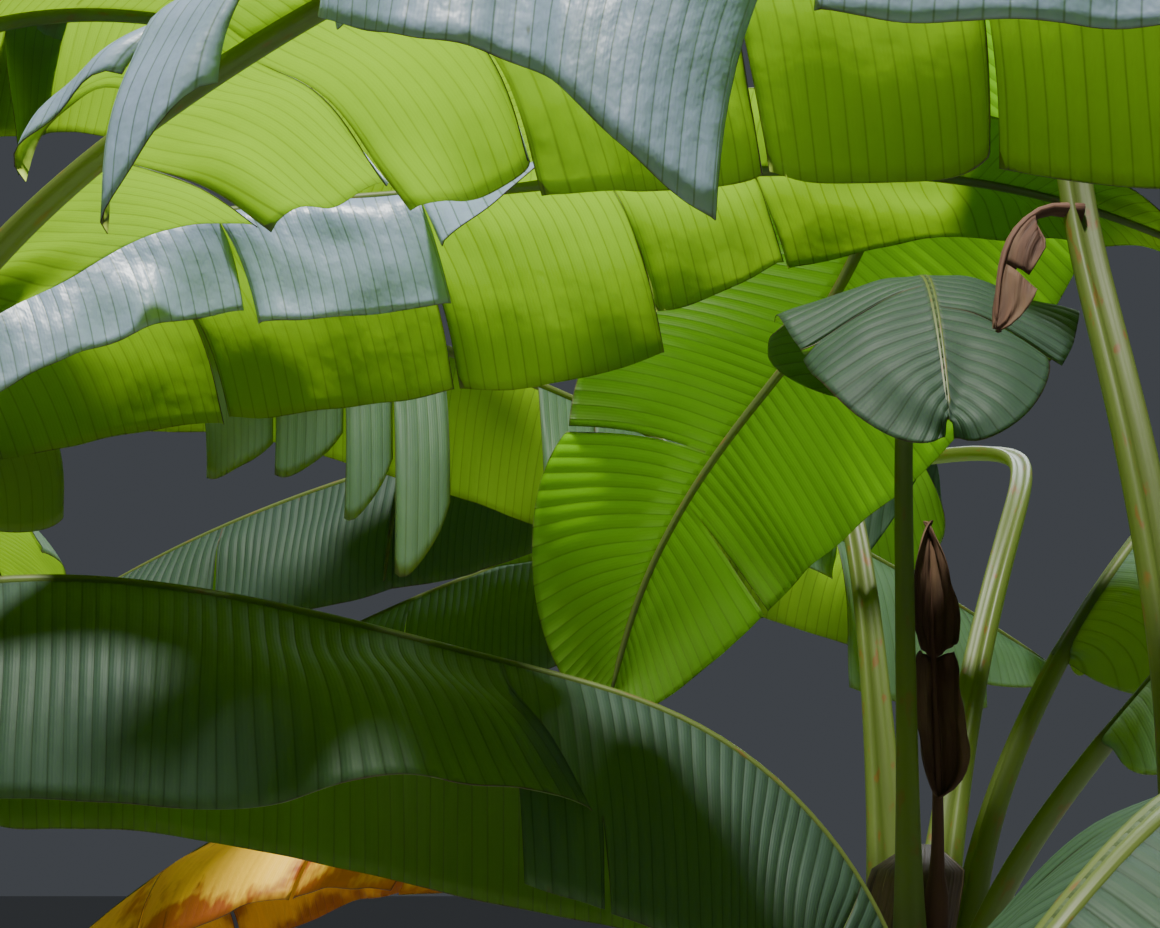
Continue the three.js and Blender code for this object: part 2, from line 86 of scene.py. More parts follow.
# A leaf with the deep tint is painted in shade: its upper face is a darker, duller copy of the green finish.
LEAVES = {
    "main_leaf_2": {
        "tint": "deep", "stem": "main", "from": 1540, "petiole": 360, "blade": 1750, "width": 310,
        "climb": [64, 50, 14, -6, -14, -17, -48, -78, -80], "turn": [42, 0, 2, 2, 0, 0, 0],
        "right": {
            "fold": [-35, -35, -35, -40, -40], "hang": [0.75], "lean": [16], "tears": [0.48, 0.75],
            "strips": {
                0: {
                    "fold": [0, 0, 0, 8, 22, 20], "hang": [0, 0, 0, 0, -0.3, -0.3],
                    "lean": [0, 0, 0, 0, 10, 30], "reach": [1, 1, 1, 1, 0.95, 0.8],
                },
            },
        },
        "left": {"fold": [-50], "hang": [0.85], "lean": [12], "tears": [0.66]},
    },
    "main_leaf_3": {
        "tint": "waxy", "stem": "main", "from": 1545, "petiole": 750, "blade": 1750, "width": 330,
        "climb": [61, 54, 48, 21, 7, -6, -18, -35], "turn": [-16, -9, -21, -30, -18, -12, -8],
        "right": {
            "fold": [40, 40, 35, 25, 0, -20, -20, -20], "hang": [0.9], "lean": [-20],
            "tears": [0.18, 0.25, 0.31, 0.62, 0.82],
            "strips": {
                0: {"reach": [0]},
                1: {"fold": [-50], "reach": [0.55, 0.6], "lean": [-22], "hang": [-0.3]},
                2: {"fold": [-90], "reach": [0.95, 0.85], "lean": [-12]},
                3: {
                    "fold": [-40, -50, -60, -70, -80], "reach": [0.5, 0.75, 0.95, 1, 1.25, 1.45],
                    "lean": [60, 20, 5, -8, -16, -24],
                },
                4: {"fold": [-50], "reach": [0.82], "lean": [-30]},
            },
        },
        "left": {
            "fold": [25, 14, 0, -14, -34, -45, -55], "hang": [0.15, 0.28, 0.55, 0.75, 0.9, 0.95, 0.95],
            "lean": [14, 0, 8, 14, 18], "tears": [0.13, 0.24, 0.35, 0.5, 0.63],
        },
    },
    "main_leaf_4": {
        "stem": "main", "from": 1630, "petiole": 450, "blade": 1700, "width": 300, "stout": 22,
        "climb": [60, 50, 26, 0, -20, -38, -58], "turn": [200, 197, 192],
        "right": {"tears": [0.24, 0.48, 0.74]},
    },
    "main_leaf_5": {
        "stem": "main", "from": 1700, "petiole": 420, "blade": 1700, "width": 300,
        "climb": [68, 50, 26, 4, -16, -34, -55], "turn": [88, 90, 92],
    },
    "main_leaf_6": {
        "tint": "waxy", "stem": "main", "from": 1760, "petiole": 400, "blade": 1750, "width": 330,
        "climb": [67, 52, 26, 6, 2, -8, -30], "turn": [31, 23, 4, 0, -7, -9, -10],
        "right": {
            "fold": [12, 0, -30, -30, 40, 50, 50], "hang": [0.1], "lean": [12],
            "tears": [0.12, 0.33, 0.47, 0.65],
            "strips": {
                0: {"fold": [-55], "hang": [0.4]},
                1: {"fold": [-68], "hang": [0.6, 0.5], "reach": [0.68, 0.44], "lean": [8]},
                2: {"fold": [-60], "hang": [0.5], "reach": [0.55], "lean": [10]},
                3: {"reach": [0.5]},
                4: {"reach": [0.4]},
            },
        },
        "left": {
            "fold": [-15, -18, -20, -15, 0, 5], "hang": [0.5, 0.55, 0.6, 0.6, 0.45, 0.4],
            "tears": [0.27, 0.45, 0.6, 0.7],
            "strips": {0: {"reach": [0.8, 0.98]}, 3: {"reach": [0.75]}, 4: {"reach": [0.6, 0.5]}},
        },
    },
    "main_leaf_7": {
        "stem": "main", "from": 1780, "petiole": 430, "blade": 1720, "width": 300,
        "climb": [66, 50, 28, 6, -14, -32, -52], "turn": [252, 250, 247],
        "right": {"tears": [0.34, 0.6, 0.84]},
    },
    "main_leaf_8": {
        "stem": "main", "from": 1850, "petiole": 450, "blade": 2200, "width": 300,
        "climb": [40, 38, 39, -6, -16, -23, -24, -29], "turn": [52, 52, 50, 17, 19, 21, 21, 22],
        "right": {
            "fold": [-60], "hang": [0.95], "lean": [12],
            "tears": [0.1, 0.235, 0.315, 0.37, 0.405, 0.445, 0.52, 0.565, 0.625, 0.78, 0.9],
            "strips": {
                1: {"reach": [0.4]}, 2: {"reach": [1.15]}, 3: {"reach": [1.1]}, 4: {"reach": [1.25]},
                5: {"reach": [1.5]}, 6: {"reach": [0]}, 7: {"reach": [0.85]}, 8: {"reach": [0.8]},
                9: {"reach": [0.4]}, 10: {"reach": [1.3]},
            },
        },
        "left": {"fold": [-20], "hang": [0.6], "lean": [12], "tears": [0.3, 0.6]},
    },
    "main_leaf_9": {
        "stem": "main", "from": 1840, "petiole": 460, "blade": 1700, "width": 300,
        "climb": [72, 60, 40, 16, -8, -28, -50], "turn": [148, 150, 152],
    },
    "main_leaf_10": {
        "stem": "main", "from": 1930, "petiole": 550, "blade": 1700, "width": 300,
        "climb": [76, 66, 46, 16, -4, -20, -38], "turn": [44, 42, 40, 40],
        "left": {"fold": [-10], "hang": [0.3]}, "right": {"fold": [10], "hang": [0.1]},
    },
    "right_leaf_5": {
        "tint": "lush", "stem": "right", "from": 1360, "petiole": 1100, "blade": 1500, "width": 300,
        "climb": [92, 93, 81, 74, 82, 32, -22, -50, -47, -58, -72],
        "turn": [118, 106, 103, 92, 111, 158, 134],
        "right": {"fold": [-20, -30, -45, -50], "hang": [0.2], "lean": [16], "tears": [0.55, 0.8]},
        "left": {
            "fold": [20, 40, 50, 50], "hang": [0.2], "lean": [16], "tears": [0.45, 0.75],
            "strips": {0: {"reach": [0.3, 0.3, 0.4, 0.65]}},
        },
    },
    "middle_leaf_4": {
        "tint": "deep", "stem": "middle", "from": 1480,
        "petiole": 700, "blade": 580, "width": 185, "stout": 14,
        "climb": [80, 80, 80, 70, 20, -40, -65], "turn": [-92, -92, -95, -98],
        "right": {"fold": [-8], "hang": [0.25], "lean": [16], "tears": [0.6]},
        "left": {"fold": [-8], "hang": [0.25], "lean": [16], "tears": [0.7]},
    },
    "middle_leaf_1": {
        "stem": "middle", "from": 1400, "petiole": 420, "blade": 1500, "width": 280, "stout": 18,
        "climb": [68, 50, 42, 25, 5, -15, -35], "turn": [-35, -40, -43, -40, -35],
        "right": {"fold": [-30]}, "left": {"fold": [-15]},
    },
    "middle_leaf_3": {
        "stem": "middle", "from": 1460, "petiole": 450, "blade": 1600, "width": 280,
        "climb": [78, 62, 48, 30, 8, -15, -40], "turn": [5, 5, 10, 15],
        "right": {"fold": [-35], "hang": [0.9]},
    },
    "right_leaf_1": {
        "tint": "deep", "stem": "right", "from": 1270, "petiole": 300, "blade": 1100, "width": 240,
        "climb": [86, 68, -4, -46, -60, -72], "turn": [-105, -116, -166, -172],
    },
    "middle_leaf_5": {
        "tint": "deep", "stem": "middle", "from": 1480, "petiole": 1250, "blade": 1400, "width": 330,
        "climb": [68, 67, 52, 20, 0, -10, -16, -22, -28], "turn": [51, 44, 60, 112, 152, 170, 176, 178],
        "right": {"fold": [-20], "hang": [0.5]}, "left": {"fold": [-45], "hang": [0.85]},
    },
    "middle_leaf_6": {
        "tint": "deep", "stem": "middle", "from": 1550, "petiole": 930, "blade": 1500, "width": 320,
        "climb": [82, 80, 60, 22, 2, -8, -16, -24, -32], "turn": [98, 98, 108, 142, 168, 178, 180],
        "right": {"fold": [-25], "hang": [0.6]},
        "left": {"fold": [-20, -45, -50, -50], "hang": [0.5, 0.85, 0.9, 0.9]},
    },
    "middle_leaf_2": {
        "tint": "yellow", "stem": "middle", "from": 1360, "petiole": 400, "blade": 1500, "width": 280,
        "climb": [60, 36, 8, -14, -30, -44, -60], "turn": [150, 156, 166],
    },
    "right_leaf_3": {
        "stem": "right", "from": 1300, "petiole": 380, "blade": 1400, "width": 260,
        "climb": [62, 46, 20, 0, -20, -40, -60], "turn": [-48, -54, -58],
    },
    "right_leaf_4": {
        "stem": "right", "from": 1340, "petiole": 380, "blade": 1400, "width": 260,
        "climb": [70, 52, 26, 4, -16, -36, -56], "turn": [-4, -8, -8],
    },
    "right_leaf_2": {
        "stem": "right", "from": 1280, "petiole": 360, "blade": 1300, "width": 250,
        "climb": [66, 46, 18, -6, -26, -44, -60], "turn": [30, 30, 32],
    },
    "main_dead_leaf": {
        "tint": "dead", "stem": "main", "from": 1380,
        "petiole": 360, "blade": 850, "width": 100, "stout": 15,
        "climb": [15, -62, -85, -88, -88], "turn": [200, 202, 200],
    },
    "middle_dead_leaf": {
        "tint": "dead", "stem": "middle", "from": 1280,
        "petiole": 340, "blade": 750, "width": 95, "stout": 14,
        "climb": [15, -62, -85, -88, -88], "turn": [20, 18, 20],
    },
    "right_dead_leaf": {
        "tint": "dead", "stem": "right", "from": 1160,
        "petiole": 330, "blade": 700, "width": 95, "stout": 13,
        "climb": [15, -62, -85, -88, -88], "turn": [-50, -52, -50],
    },
    "middle_dead_stalk": {
        "tint": "dead", "stem": "middle", "from": 1560,
        "petiole": 120, "blade": 360, "width": 55, "stout": 9,
        "climb": [76, 84, 86, 82], "turn": [-78, -92, -100],
    },
    "right_dead_rag": {
        "tint": "dead", "host": "right_leaf_5", "from": 0.345,
        "petiole": 50, "blade": 140, "width": 48, "stout": 8,
        "climb": [10, -40, -75, -85], "turn": [190, 200, 210],
    },
}


def clamp(x, low=0.0, high=1.0):
    return max(low, min(high, x))


def smoothstep(x, low, high):
    f = clamp((x - low) / (high - low))
    return f * f * (3 - 2 * f)


def lerp(a, b, f):
    return a + (b - a) * f


def along(values, x):
    """A smooth curve through evenly spaced values, read at x from 0 to 1."""
    last = len(values) - 1
    if last == 0:
        return values[0]
    p = clamp(x) * last
    i = min(int(p), last - 1)
    f = p - i
    a = values[i]
    b = values[i + 1]
    slope_a = (b - values[max(i - 1, 0)]) / 2
    slope_b = (values[min(i + 2, last)] - a) / 2
    f2 = f * f
    f3 = f2 * f
    start = (2 * f3 - 3 * f2 + 1) * a + (f3 - 2 * f2 + f) * slope_a
    return start + (3 * f2 - 2 * f3) * b + (f3 - f2) * slope_b


def heading(climb, turn):
    """Unit vector for a slope and a heading."""
    e = math.radians(climb)
    a = math.radians(turn)
    return Vector((math.cos(e) * math.cos(a), math.cos(e) * math.sin(a), math.sin(e)))


def stem_axis(stem, z):
    f = z / stem["crown"][2]
    x = lerp(stem["foot"][0], stem["crown"][0], f)
    y = lerp(stem["foot"][1], stem["crown"][1], f)
    return Vector((x, y, z))


def stem_radius(stem, z):
    rest = max(1 - z / stem["crown"][2], 0)
    taper = (stem["foot_radius"] - stem["neck_radius"]) * rest**1.2
    return stem["neck_radius"] + taper + stem["flare"] * math.exp(-z / FLARE_HEIGHT)


class Leaf:
    """One leaf by the rule of the part's source: a walked midrib, and veins that lean, fold and hang."""

    def __init__(self, name, given, grown):
        base = WITHERED if given.get("tint") == "dead" else HALF
        self.name = name
        for key, value in {**LEAF, **given}.items():
            setattr(self, "start" if key == "from" else key, value)
        self.halves = {side: {**base, **given.get(side, {})} for side, _ in SIDES}
        self.length = self.petiole + self.blade
        if "host" in given:
            host = grown[given["host"]]
            at, _, _, up = host.rib_frame(self.start)
            points = [at - up * KEEL * host.rib_radius(self.start)]
        else:
            stem = STEMS[self.stem]
            out = heading(0, self.turn[0])
            points = [stem_axis(stem, self.start) + out * stem_radius(stem, self.start)]
        for k in range(RIB_WALK):
            x = (k + 0.5) / RIB_WALK
            ahead = heading(along(self.climb, x), along(self.turn, x))
            points.append(points[k] + ahead * (self.length / RIB_WALK))
        self.points = points

    def rib_frame(self, x):
        """Place, direction, level side and upward normal of the midrib at x from 0 to 1."""
        p = clamp(x) * RIB_WALK
        i = min(int(p), RIB_WALK - 1)
        at = self.points[i].lerp(self.points[i + 1], p - i)
        turn = math.radians(along(self.turn, x))
        ahead = heading(along(self.climb, x), along(self.turn, x))
        side = Vector((math.sin(turn), -math.cos(turn), 0))
        return at, ahead, side, side.cross(ahead)

    def rib_radius(self, x):
        blade_start = self.petiole / self.length
        foot = 0.75 * math.exp(-6 * x / blade_start)
        if x < blade_start:
            return self.stout * (1 + foot - 0.2 * x / blade_start)
        u = (x - blade_start) / (1 - blade_start)
        return self.stout * 0.8 * (1 - 0.72 * u**0.8)

    def half_width(self, u):
        """Share of the full half width at u from the blade's foot to its tip."""
        foot = 1 - clamp(u / BLADE_SHOULDER)
        share = math.sqrt(1 - foot * foot) * (1 - u**4) ** 0.65
        return max(share, BLADE_END, NARROWEST * self.stout / self.width)

    def vein(self, half, sign, strip, u):
        """Points down one vein, from the midrib to the margin, and its length."""
        at, ahead, side, up = self.rib_frame((self.petiole + u * self.blade) / self.length)
        across = (u - strip["from"]) / (strip["to"] - strip["from"])
        length = self.width * self.half_width(u) * along(strip["reach"], across)
        lean = along(half["lean"], u) + TIP_LEAN * smoothstep(u, 0.75, 1)
        fold = along(half["fold"], u)
        hang = along(half["hang"], u)
        more = [along(strip[key], across) for key in ("lean", "fold", "hang")]
        points = [at]
        for k in range(FINE_STEPS):
            t = (k + 0.5) / FINE_STEPS
            free = smoothstep(t, strip["torn"], strip["torn"] + TORN_FREE)
            a = math.radians(lean + free * more[0])
            f = math.radians(fold + free * more[1])
            give = clamp((hang + free * more[2]) * smoothstep(t, 0, 1), 0, 0.97)
            way = side * (sign * math.cos(f) * math.cos(a)) + up * (math.sin(f) * math.cos(a))
            way = way + ahead * math.sin(a)
            way = (way * (1 - give) - UP * give).normalized()
            points.append(points[k] + way * (length / FINE_STEPS))
        return points, length


def strips_of(half):
    """The strips between a half's tears."""
    cuts = [0, *half["tears"], 1]
    return [
        {**STRIP, **half["strips"].get(i, {}), "from": cuts[i], "to": cuts[i + 1]}
        for i in range(len(cuts) - 1)
    ]


def grow_leaves():
    grown = {}
    for name, given in LEAVES.items():
        grown[name] = Leaf(name, given, grown)
    return grown


GROWN = grow_leaves()


def nodes_of(name):
    """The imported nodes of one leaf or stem."""
    return [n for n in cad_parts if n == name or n.startswith(name + "_part_")]


# Shader maths.


class Field:
    """A number that changes over a surface. Arithmetic on it adds Math nodes."""

    def __init__(self, paint, socket):
        self.paint = paint
        self.socket = socket

    def __add__(self, other):
        return self.paint.math("ADD", self, other)

    def __radd__(self, other):
        return self.paint.math("ADD", other, self)

    def __sub__(self, other):
        return self.paint.math("SUBTRACT", self, other)

    def __rsub__(self, other):
        return self.paint.math("SUBTRACT", other, self)

    def __mul__(self, other):
        return self.paint.math("MULTIPLY", self, other)

    def __rmul__(self, other):
        return self.paint.math("MULTIPLY", other, self)

    def above(self, edge, soft=0.05):
        """0 below the edge and 1 above it, with a soft step."""
        return self.paint.math("MULTIPLY_ADD", self, 1 / soft, -edge / soft + 0.5, clamp=True)


class Paint:
    """The node tree of one material."""

    def __init__(self, name):
        self.material = bpy.data.materials.new(name)
        self.material.use_nodes = True
        self.tree = self.material.node_tree
        self.tree.nodes.clear()

    def add(self, kind, settings=None, **inputs):
        """A node of a kind, its settings first, then the values or links of its sockets."""
        node = self.tree.nodes.new(kind)
        for key, value in (settings or {}).items():
            setattr(node, key, value)
        for key, value in inputs.items():
            index = int(key[1:]) if key[1:].isdigit() else key.replace("_", " ")
            self.set(node.inputs[index], value)
        return node

    def set(self, socket, value):
        if isinstance(value, Field):
            self.tree.links.new(value.socket, socket)
        elif isinstance(value, bpy.types.NodeSocket):
            self.tree.links.new(value, socket)
        else:
            socket.default_value = value

    def math(self, operation, *values, clamp=False):
        node = self.add("ShaderNodeMath", {"operation": operation, "use_clamp": clamp})
        for socket, value in zip(node.inputs, values):
            self.set(socket, value)
        return Field(self, node.outputs[0])

    def uv(self, name):
        """The two numbers of a UV map."""
        layer = self.add("ShaderNodeUVMap", {"uv_map": name})
        parts = self.add("ShaderNodeSeparateXYZ", Vector=layer.outputs[0])
        return Field(self, parts.outputs[0]), Field(self, parts.outputs[1])

    def noise(self, x, y, z=0.0, detail=2.0, roughness=0.5):
        """Noise between 0 and 1 at numbers already scaled to its grain."""
        where = self.add("ShaderNodeCombineXYZ", _0=x, _1=y, _2=z)
        node = self.add(
            "ShaderNodeTexNoise", Vector=where.outputs[0], Scale=1.0, Detail=detail, Roughness=roughness
        )
        return Field(self, node.outputs[0])

    def mix(self, factor, a, b):
        """A colour between a and b."""
        node = self.add("ShaderNodeMix", {"data_type": "RGBA"})
        self.set(node.inputs[0], factor)
        self.set(node.inputs[6], a)
        self.set(node.inputs[7], b)
        return node.outputs[2]

    def bump(self, height, distance):
        """A normal for relief whose height of 1 stands for a distance in metres."""
        return self.add("ShaderNodeBump", Height=height, Distance=distance, Strength=1.0).outputs[0]

    def finish(self, surface):
        self.add("ShaderNodeOutputMaterial", Surface=surface)
        return self.material

    def skin(self, colour, roughness, normal, glow=None, factor=0.0, gloss=0.4):
        """A surface, mixed with a translucent one where light passes through."""
        body = self.add(
            "ShaderNodeBsdfPrincipled", Base_Color=colour, Roughness=roughness, Normal=normal,
            Specular_IOR_Level=gloss,
        )
        if glow is None:
            return self.finish(body.outputs[0])
        through = self.add("ShaderNodeBsdfTranslucent", Color=glow, Normal=normal)
        node = self.add("ShaderNodeMixShader", _0=factor, _1=body.outputs[0], _2=through.outputs[0])
        return self.finish(node.outputs[0])


def rgba(colour, gain=1.0):
    return (*(c * gain for c in colour[:3]), 1.0)


# How a living blade is finished: the shade of its upper face, which for the deep finish is painted shade,
# the cover of wax on it, partly its own wax and partly a painted bluish sheen of reflected sky, the light
# that it lets through, its roughness and gloss, its pleats and crumpling in millimetres, and how much it
# waves.
FINISHES = ("shade", "bloom_and_sheen", "through", "rough", "gloss", "pleat", "crumple", "wave")
LIVING = {
    "green": dict(zip(FINISHES, (0.9, 0.12, 0.38, 0.4, 0.26, 1.0, 2.4, 1.0))),
    # This finish carries the full wax bloom: the leaf's own wax with a painted bluish sheen of reflected
    # sky.
    "waxy": dict(zip(FINISHES, (1.0, 1.0, 0.38, 0.22, 0.6, 0.75, 7.0, 1.8))),
    "lush": dict(zip(FINISHES, (0.75, 0.08, 0.42, 0.36, 0.35, 2.6, 2.4, 1.3))),
    # The deep finish is painted shade: a darker, duller copy of the green finish, with less bloom, gloss and
    # light let through, for leaves that sit in the shade of others.
    "deep": dict(zip(FINISHES, (0.4, 0.05, 0.18, 0.44, 0.2, 2.5, 2.2, 1.2))),
    "yellow": dict(zip(FINISHES, (1.0, 0.0, 0.38, 0.4, 0.35, 0.9, 4.0, 1.6))),
}

# The gloss of every under face, and the width of a blade's dry margin in metres.
UNDER_GLOSS = 0.35
DRY_MARGIN = 0.0012


def vein_relief(paint, v, s):
    """The ribbing across the veins: round pleats parted by grooves, fine veins, and slight crumpling."""
    sizes = bpy.context.scene.banana_sizes
    wander = paint.noise(v * 7, s * 1.2, detail=1) * 1.4
    ridge = paint.math("ABSOLUTE", paint.math("SINE", (v * (1 / sizes.pleat) + wander) * math.pi))
    fine = paint.math("SINE", (v * (4.6 / sizes.pleat) + wander * 2) * (2 * math.pi))
    crumple = paint.noise(v * 17, s * 13, 4.0, detail=4, roughness=0.5)
    return ridge, fine, crumple


def blade_paint(name, face, tint):
    """The upper or under face of a living or yellow blade. Its relief is in millimetres."""
    c = bpy.context.scene.banana_colours
    paint = Paint(name)
    v, s = paint.uv("veins")
    t, edge = paint.uv("share")
    finish = LIVING[tint]
    ridge, fine, crumple = vein_relief(paint, v, s)
    # The grooves between pleats: painted shade darkens their colour on both faces, and less light is let
    # through them.
    shaded_groove = 1 - ridge.above(0.13, 0.22)
    broad = paint.noise(v * 2.2, s * 3.0, 7.0, detail=2)
    streak = paint.noise(v * 60, s * 2.5, 2.0, detail=2)
    pleated = broad.above(0.42, 0.5) * 0.7 + 0.3
    spots = paint.noise(v * 40, s * 12, 9.0, detail=3)
    margin = (1 - edge.above(DRY_MARGIN, 0.0016)) * paint.noise(v * 17, s * 17, 3.0).above(0.5, 0.25)
    if tint == "yellow":
        blotch = paint.noise(v * 9, s * 6, 11.0, detail=4, roughness=0.65)
        colour = paint.mix(streak, rgba(c.yellow, 0.8), rgba(c.yellow, 1.15))
        old = blotch + (1 - edge.above(0.03, 0.06)) * 0.2
        colour = paint.mix(old.above(0.62, 0.1), colour, rgba(c.rust))
        colour = paint.mix(spots.above(0.68, 0.05), colour, rgba(c.rust, 0.5))
    else:
        # The shade factor darkens the upper face; for the deep finish this is painted shade.
        main = tuple(x * finish["shade"] for x in c.upper) if face == "upper" else c.under
        colour = paint.mix(streak, rgba(main, 0.72), rgba(main, 1.3))
        if face == "upper":
            # Patches of wax bloom on the upper face, partly the leaf's own wax and partly a painted bluish
            # sheen of reflected sky.
            bloom_and_sheen_patches = paint.noise(v * 6, s * 5, 13.0, detail=3).above(0.4, 0.7) * 0.5 + 0.5
            colour = paint.mix(bloom_and_sheen_patches * finish["bloom_and_sheen"], colour, rgba(c.bloom_and_sheen))
            # Painted shade in the grooves of the upper face.
            colour = paint.mix(shaded_groove * 0.75, colour, rgba(main, 0.6))
        else:
            colour = paint.mix(broad.above(0.55, 0.4) * 0.5, colour, rgba(main, 1.5))
            # Painted shade in the grooves of the under face, deeper where the pleats are strong.
            colour = paint.mix(shaded_groove * pleated * 0.65, colour, rgba(main, 0.4))
        colour = paint.mix(spots.above(0.74, 0.03) * 0.7, colour, rgba(c.dead, 0.8))
    near_rib = 1 - t.above(0.025, 0.05)
    colour = paint.mix(near_rib * 0.5, colour, rgba(c.rib, 0.8))
    colour = paint.mix(margin * 0.85, colour, rgba(c.dead, 0.8))
    pleats = ridge * pleated
    if face == "upper":
        height = pleats * finish["pleat"] + fine * (0.07 - 0.05 * finish["bloom_and_sheen"])
        height = height + crumple * finish["crumple"]
        rough = crumple * 0.25 + broad * 0.1 + finish["rough"]
        gloss = finish["gloss"]
        factor = finish["through"] - margin * 0.1 - shaded_groove * 0.04
    else:
        height = pleats * (-0.8 * finish["pleat"]) + fine * 0.06 + crumple * (0.4 * finish["crumple"])
        rough = 0.48 + crumple * 0.15
        gloss = UNDER_GLOSS
        factor = 0.66 + streak * 0.08 - margin * 0.5 - shaded_groove * pleated * 0.3
    glow = {"deep": c.deep_glow, "lush": c.deep_glow, "yellow": c.yellow}.get(tint, c.glow)
    return paint.skin(colour, rough, paint.bump(height, MM), rgba(glow), factor, gloss)


def dead_paint(name):
    """Dry brown tissue, streaked along its fibres."""
    c = bpy.context.scene.banana_colours
    paint = Paint(name)
    v, s = paint.uv("veins")
    streak = paint.noise(v * 14, s * 160, 1.0, detail=3)
    broad = paint.noise(v * 8, s * 14, 3.0, detail=3)
    colour = paint.mix(streak, rgba(c.dead, 0.3), rgba(c.dead, 1.5))
    colour = paint.mix(broad.above(0.6, 0.3) * 0.35, colour, rgba(c.straw, 0.6))
    normal = paint.bump(streak + broad, 0.003)
    return paint.skin(colour, 0.75 + streak * 0.15, normal, rgba(c.straw, 0.6), 0.14)


def margin_paint(name):
    """The cut edge of a living blade, dry and dark."""
    c = bpy.context.scene.banana_colours
    paint = Paint(name)
    v, s = paint.uv("veins")
    dry = paint.noise(v * 24, s * 24, 2.0, detail=3)
    colour = paint.mix(dry.above(0.5, 0.3), rgba(c.under, 0.8), rgba(c.dead, 0.9))
    return paint.skin(colour, 0.6 + dry * 0.2, paint.bump(dry, 0.0005))


def rib_paint(name, tint):
    """A petiole and midrib: smooth and dull green, streaked, with brown flecks, or dry and brown."""
    c = bpy.context.scene.banana_colours
    paint = Paint(name)
    v, s = paint.uv("veins")
    streak = paint.noise(v * 3, s * 90, 1.0, detail=3)
    fleck = paint.noise(v * 26, s * 60, 5.0, detail=3)
    if tint == "dead":
        colour = paint.mix(streak, rgba(c.dead, 0.5), rgba(c.dead, 1.9))
        return paint.skin(colour, 0.8, paint.bump(streak, 0.003))
    colour = paint.mix(streak.above(0.5, 0.5) * 0.7, rgba(c.rib, 0.62), rgba(c.rib, 1.15))
    colour = paint.mix(fleck.above(0.64, 0.06) * 0.7, colour, rgba(c.rust, 0.45))
    normal = paint.bump(streak * 0.6 + fleck * 0.2, 0.0015)
    return paint.skin(colour, 0.42 + streak * 0.15, normal, rgba(c.glow), 0.24)


def sheath_paint(name):
    """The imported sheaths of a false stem: green above, brown and purple-black below, with yellow marks."""
    c = bpy.context.scene.banana_colours
    paint = Paint(name)
    v, s = paint.uv("veins")
    high = v.above(1.7, 0.5)
    fibre = paint.noise(v * 4, s * 110, 1.0, detail=3)
    patch = paint.noise(v * 5, s * 14, 3.0, detail=4, roughness=0.6)
    mark = paint.noise(v * 9, s * 34, 8.0, detail=3)
    old = paint.mix(fibre, rgba(c.sheath, 0.6), rgba(c.sheath, 1.9))
    fresh = paint.mix(fibre, rgba(c.rib, 0.45), rgba(c.rib, 0.95))
    colour = paint.mix((high + patch * 0.9 - 0.45).above(0.5, 0.25), old, fresh)
    colour = paint.mix(mark.above(0.6, 0.06) * 0.8, colour, rgba(c.bruise))
    bleached = paint.noise(v * 6, s * 60, 5.0, detail=2).above(0.66, 0.05)
    colour = paint.mix(bleached * 0.7, colour, rgba(c.straw))
    normal = paint.bump(fibre * 0.7 + patch * 0.8, 0.004)
    return paint.skin(colour, 0.5 + fibre * 0.3, normal)


MATERIALS = {}


def material(name, make, *given):
    if name not in MATERIALS:
        MATERIALS[name] = make(name, *given)
    return MATERIALS[name]


def blade_materials(tint):
    if tint == "dead":
        one = material("dead_blade", dead_paint)
        return [one, one, one]
    return [
        material(f"{tint}_upper_face", blade_paint, "upper", tint),
        material(f"{tint}_under_face", blade_paint, "under", tint),
        material("blade_margin", margin_paint),
    ]


# Meshes.

# The fine shape of the blades: lengths in millimetres, shares of a blade, a strip or a vein, and factors.
# A strip narrower than WIDE ends more and more aslant, and at NARROW it does so by ASLANT of its length.
NICK_SPACING = 0.16
NICK_ODDS = 0.5
NICK_FOOT = 0.97
NICK_DEPTH = 0.35
JOINED = 0.03
UNTORN = 60
NARROW = 90
WIDE = 280
ASLANT = 0.3
ROUNDED = 0.05
DROOP = 2.2
LIFT = 9
GAPE = 1.6
FIRST_VEIN = 20
WELD = 0.4
SMALL_BLADE = 150
DEAD_WAVE = 1.6

# The midribs and stems: lengths in millimetres, counts of rows and sides, a slope in degrees, a factor.
RIB_STEP = 25
RIB_SEGMENTS = 18
BOOT = 200
BOOT_STEPS = 20
BOOT_CLIMB = 84
BOOT_SWELL = 1.25
STEM_STEP = 16
STEM_SEGMENTS = 72
SHEATH_FALL = 900
OLDER_SHEATH = 420
SHEATH_LIP = 10
MOST_RAISED = 11
CROWN_CAP = 45


def piece(name, bm, materials, nodes, thickness=0.0):
    """A finished object from a bmesh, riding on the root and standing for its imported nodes."""
    mesh = bpy.data.meshes.new(name)
    bm.to_mesh(mesh)
    bm.free()
    mesh.shade_smooth()
    for m in materials:
        mesh.materials.append(m)
    obj = bpy.data.objects.new(name, mesh)
    bpy.context.scene.collection.objects.link(obj)
    if thickness:
        shell = obj.modifiers.new("Thickness", "SOLIDIFY")
        shell.thickness = thickness
        shell.offset = -1
        shell.material_offset = 1
        shell.material_offset_rim = 2
    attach(obj, "root")
    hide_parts(*nodes)


def ragged(half_seed, strip):
    """A strip's own small nicks: the place of each along it, and the share of the vein where it starts."""
    span = strip["to"] - strip["from"]
    count = int(span / NICK_SPACING)
    nicks = []
    for k in range(count):
        at = noise.cell(Vector((half_seed, k * 3.1, strip["from"] * 17)))
        deep = noise.cell(Vector((half_seed + 5.3, k * 1.7, strip["from"] * 11)))
        if deep > NICK_ODDS:
            place = strip["from"] + span * (k + 0.25 + 0.5 * at) / count
            nicks.append((place, NICK_FOOT - NICK_DEPTH * deep * deep))
    return nicks


